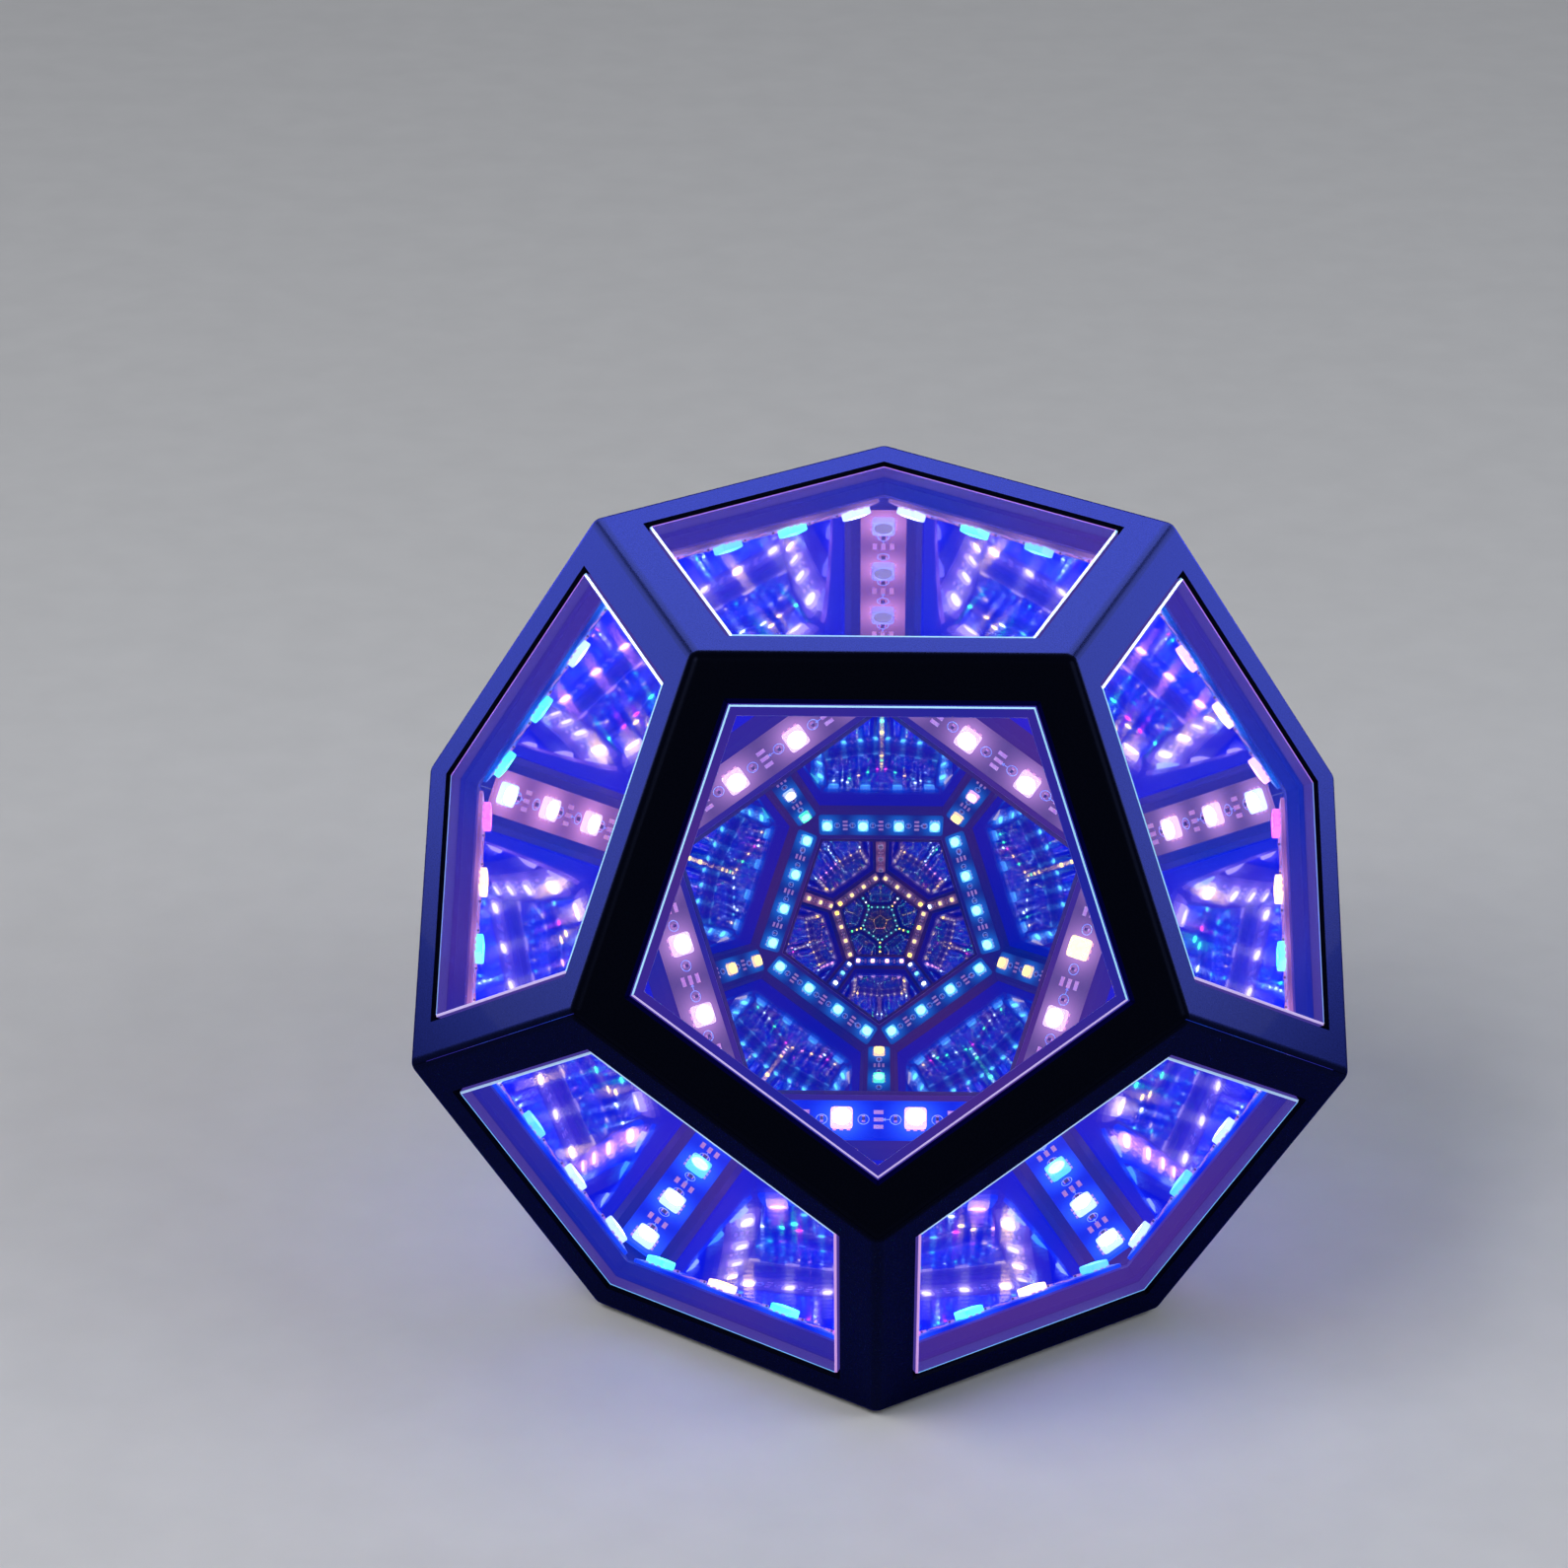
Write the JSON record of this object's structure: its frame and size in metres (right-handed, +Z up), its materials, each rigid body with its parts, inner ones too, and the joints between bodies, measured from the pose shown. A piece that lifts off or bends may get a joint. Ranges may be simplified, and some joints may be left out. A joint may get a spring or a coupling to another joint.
{
  "type": "infinity mirror dodecahedron light",
  "caption": "Dodecahedral table light: mirror panels in a black rounded frame, LED strips inside along every edge, power socket and push button low at the rear.",
  "frame": {"origin": "on the table under the centre of the dodecahedron, level with the underside of the feet", "axes": "+Z up, -Y towards the bottom face's front corner, which the camera side faces; +X to its right"},
  "size_m": [0.1952, 0.205, 0.1678],
  "materials": {
    "frame": "satin black moulded plastic",
    "mirror": "two-way mirror acrylic, polished edge",
    "strip": "white solder mask with LED packages",
    "rubber": "matte",
    "board": "green solder mask",
    "socket": "drawn steel shell",
    "button": "fine texture",
    "switch": "matte",
    "lead_red": "smooth insulation",
    "lead_black": "smooth insulation",
    "lead_green": "smooth insulation"
  },
  "bodies": {
    "lamp": {"upper_frame": "frame", "lower_frame": "frame", "mirror_panel_bottom": "mirror", "mirror_panel_top": "mirror", "mirror_panel_upper_front": "mirror", "mirror_panel_upper_right": "mirror", "mirror_panel_upper_rear_right": "mirror", "mirror_panel_upper_rear_left": "mirror", "mirror_panel_upper_left": "mirror", "mirror_panel_lower_front_right": "mirror", "mirror_panel_lower_right": "mirror", "mirror_panel_lower_rear": "mirror", "mirror_panel_lower_left": "mirror", "mirror_panel_lower_front_left": "mirror", "led_strip_base_1": "strip", "led_strip_lower_rib_1": "strip", "led_strip_belt_1": "strip", "led_strip_belt_2": "strip", "led_strip_upper_rib_1": "strip", "led_strip_top_1": "strip", "led_strip_base_2": "strip", "led_strip_lower_rib_2": "strip", "led_strip_belt_3": "strip", "led_strip_belt_4": "strip", "led_strip_upper_rib_2": "strip", "led_strip_top_2": "strip", "led_strip_base_3": "strip", "led_strip_lower_rib_3": "strip", "led_strip_belt_5": "strip", "led_strip_belt_6": "strip", "led_strip_upper_rib_3": "strip", "led_strip_top_3": "strip", "led_strip_base_4": "strip", "led_strip_lower_rib_4": "strip", "led_strip_belt_7": "strip", "led_strip_belt_8": "strip", "led_strip_upper_rib_4": "strip", "led_strip_top_4": "strip", "led_strip_base_5": "strip", "led_strip_lower_rib_5": "strip", "led_strip_belt_9": "strip", "led_strip_belt_10": "strip", "led_strip_upper_rib_5": "strip", "led_strip_top_5": "strip", "rubber_foot_1": "rubber", "rubber_foot_2": "rubber", "rubber_foot_3": "rubber", "rubber_foot_4": "rubber", "rubber_foot_5": "rubber", "control_board": "board", "usb_c_socket": "socket", "push_switch": "switch", "lead_power": "lead_red", "lead_ground": "lead_black", "lead_data": "lead_green"},
    "button": {"mode_button": "button"}
  },
  "joints": [
    {"name": "mode_button_press", "type": "slide", "parent": "lamp", "child": "button", "axis": [0, -0.8944, 0.4472], "range_m": [0, 0.0006], "stiffness_N_per_m": 1500}
  ]
}
